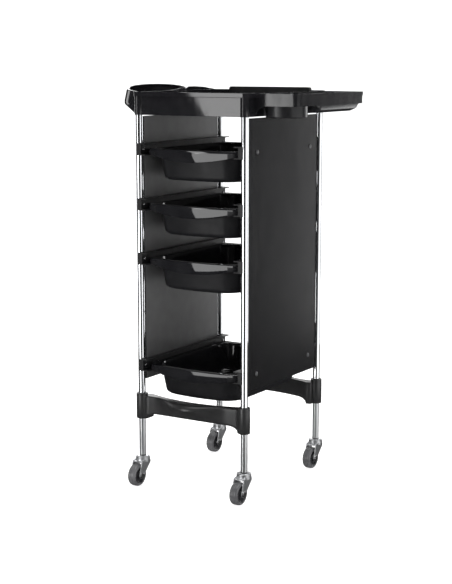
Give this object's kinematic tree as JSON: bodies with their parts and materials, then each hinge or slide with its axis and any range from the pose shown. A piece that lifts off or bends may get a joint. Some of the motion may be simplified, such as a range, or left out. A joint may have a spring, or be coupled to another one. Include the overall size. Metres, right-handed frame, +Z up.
{
  "type": "spa trolley cart",
  "caption": "Tall narrow salon trolley on swivel casters: tubular posts, side panels, sliding trays, and a moulded top with an accessory bowl and a side shelf with a dryer ring.",
  "frame": {"origin": "middle of the overall box in plan, at floor level under the casters", "axes": "+Z up, -Y towards the open front where the trays pull out, +X towards the side shelf"},
  "size_m": [0.51, 0.42, 0.8941],
  "materials": {
    "chromed_tube": "bright chrome on steel tube",
    "gloss_black": "glossy moulded black plastic",
    "satin_black": "satin black plastic",
    "black_board": "thin board with a smooth black facing",
    "insert_plastic": "moulded black nylon",
    "plated_steel": "zinc plated steel",
    "dark_screw": "black coated steel",
    "hub_plastic": "dark grey nylon",
    "grey_tread": "grey thermoplastic rubber"
  },
  "bodies": {
    "frame": {"post_front_left": "chromed_tube", "leg_front_left": "chromed_tube", "leg_insert_front_left": "insert_plastic", "swivel_pin_front_left": "plated_steel", "post_front_right": "chromed_tube", "leg_front_right": "chromed_tube", "leg_insert_front_right": "insert_plastic", "swivel_pin_front_right": "plated_steel", "post_rear_right": "chromed_tube", "leg_rear_right": "chromed_tube", "leg_insert_rear_right": "insert_plastic", "swivel_pin_rear_right": "plated_steel", "post_rear_left": "chromed_tube", "leg_rear_left": "chromed_tube", "leg_insert_rear_left": "insert_plastic", "swivel_pin_rear_left": "plated_steel", "crossbar_front": "gloss_black", "crossbar_rear": "gloss_black", "side_panel_left": "black_board", "rail_left_bottom": "satin_black", "rail_left_middle": "satin_black", "rail_left_upper": "satin_black", "rail_left_top": "satin_black", "side_panel_right": "black_board", "rail_right_bottom": "satin_black", "rail_right_middle": "satin_black", "rail_right_upper": "satin_black", "rail_right_top": "satin_black", "top_tray": "gloss_black", "accessory_bowl": "gloss_black", "side_shelf": "gloss_black", "push_rail": "satin_black", "collar_set_screws": "plated_steel", "rail_screws": "plated_steel", "shelf_screws": "plated_steel", "push_rail_screws": "plated_steel", "swivel_balls": "plated_steel", "panel_screws": "dark_screw"},
    "drawer_bottom": {"tray_bottom": "gloss_black"},
    "drawer_middle": {"tray_middle": "gloss_black"},
    "drawer_upper": {"tray_upper": "gloss_black"},
    "drawer_top": {"tray_top": "gloss_black"},
    "caster_fork_front_left": {"fork_front_left": "plated_steel", "axle_front_left": "plated_steel"},
    "caster_wheel_front_left": {"wheel_hub_front_left": "hub_plastic", "tyre_front_left": "grey_tread"},
    "caster_fork_front_right": {"fork_front_right": "plated_steel", "axle_front_right": "plated_steel"},
    "caster_wheel_front_right": {"wheel_hub_front_right": "hub_plastic", "tyre_front_right": "grey_tread"},
    "caster_fork_rear_right": {"fork_rear_right": "plated_steel", "axle_rear_right": "plated_steel"},
    "caster_wheel_rear_right": {"wheel_hub_rear_right": "hub_plastic", "tyre_rear_right": "grey_tread"},
    "caster_fork_rear_left": {"fork_rear_left": "plated_steel", "axle_rear_left": "plated_steel"},
    "caster_wheel_rear_left": {"wheel_hub_rear_left": "hub_plastic", "tyre_rear_left": "grey_tread"}
  },
  "joints": [
    {"name": "tray_bottom_slide", "type": "slide", "parent": "frame", "child": "drawer_bottom", "axis": [0, -1, 0], "range_m": [0, 0.22]},
    {"name": "tray_middle_slide", "type": "slide", "parent": "frame", "child": "drawer_middle", "axis": [0, -1, 0], "range_m": [0, 0.22]},
    {"name": "tray_upper_slide", "type": "slide", "parent": "frame", "child": "drawer_upper", "axis": [0, -1, 0], "range_m": [0, 0.22]},
    {"name": "tray_top_slide", "type": "slide", "parent": "frame", "child": "drawer_top", "axis": [0, -1, 0], "range_m": [0, 0.22]},
    {"name": "caster_front_left_swivel", "type": "hinge", "parent": "frame", "child": "caster_fork_front_left", "pos_m": [-0.1215, -0.161, 0.06], "axis": [0, 0, 1], "continuous": true},
    {"name": "caster_front_left_spin", "type": "hinge", "parent": "caster_fork_front_left", "child": "caster_wheel_front_left", "pos_m": [-0.1215, -0.185, 0.025], "axis": [1, 0, 0], "continuous": true},
    {"name": "caster_front_right_swivel", "type": "hinge", "parent": "frame", "child": "caster_fork_front_right", "pos_m": [0.1465, -0.161, 0.06], "axis": [0, 0, 1], "continuous": true},
    {"name": "caster_front_right_spin", "type": "hinge", "parent": "caster_fork_front_right", "child": "caster_wheel_front_right", "pos_m": [0.1465, -0.185, 0.025], "axis": [1, 0, 0], "continuous": true},
    {"name": "caster_rear_right_swivel", "type": "hinge", "parent": "frame", "child": "caster_fork_rear_right", "pos_m": [0.1465, 0.169, 0.06], "axis": [0, 0, 1], "continuous": true},
    {"name": "caster_rear_right_spin", "type": "hinge", "parent": "caster_fork_rear_right", "child": "caster_wheel_rear_right", "pos_m": [0.1465, 0.145, 0.025], "axis": [1, 0, 0], "continuous": true},
    {"name": "caster_rear_left_swivel", "type": "hinge", "parent": "frame", "child": "caster_fork_rear_left", "pos_m": [-0.1215, 0.169, 0.06], "axis": [0, 0, 1], "continuous": true},
    {"name": "caster_rear_left_spin", "type": "hinge", "parent": "caster_fork_rear_left", "child": "caster_wheel_rear_left", "pos_m": [-0.1215, 0.145, 0.025], "axis": [1, 0, 0], "continuous": true}
  ]
}
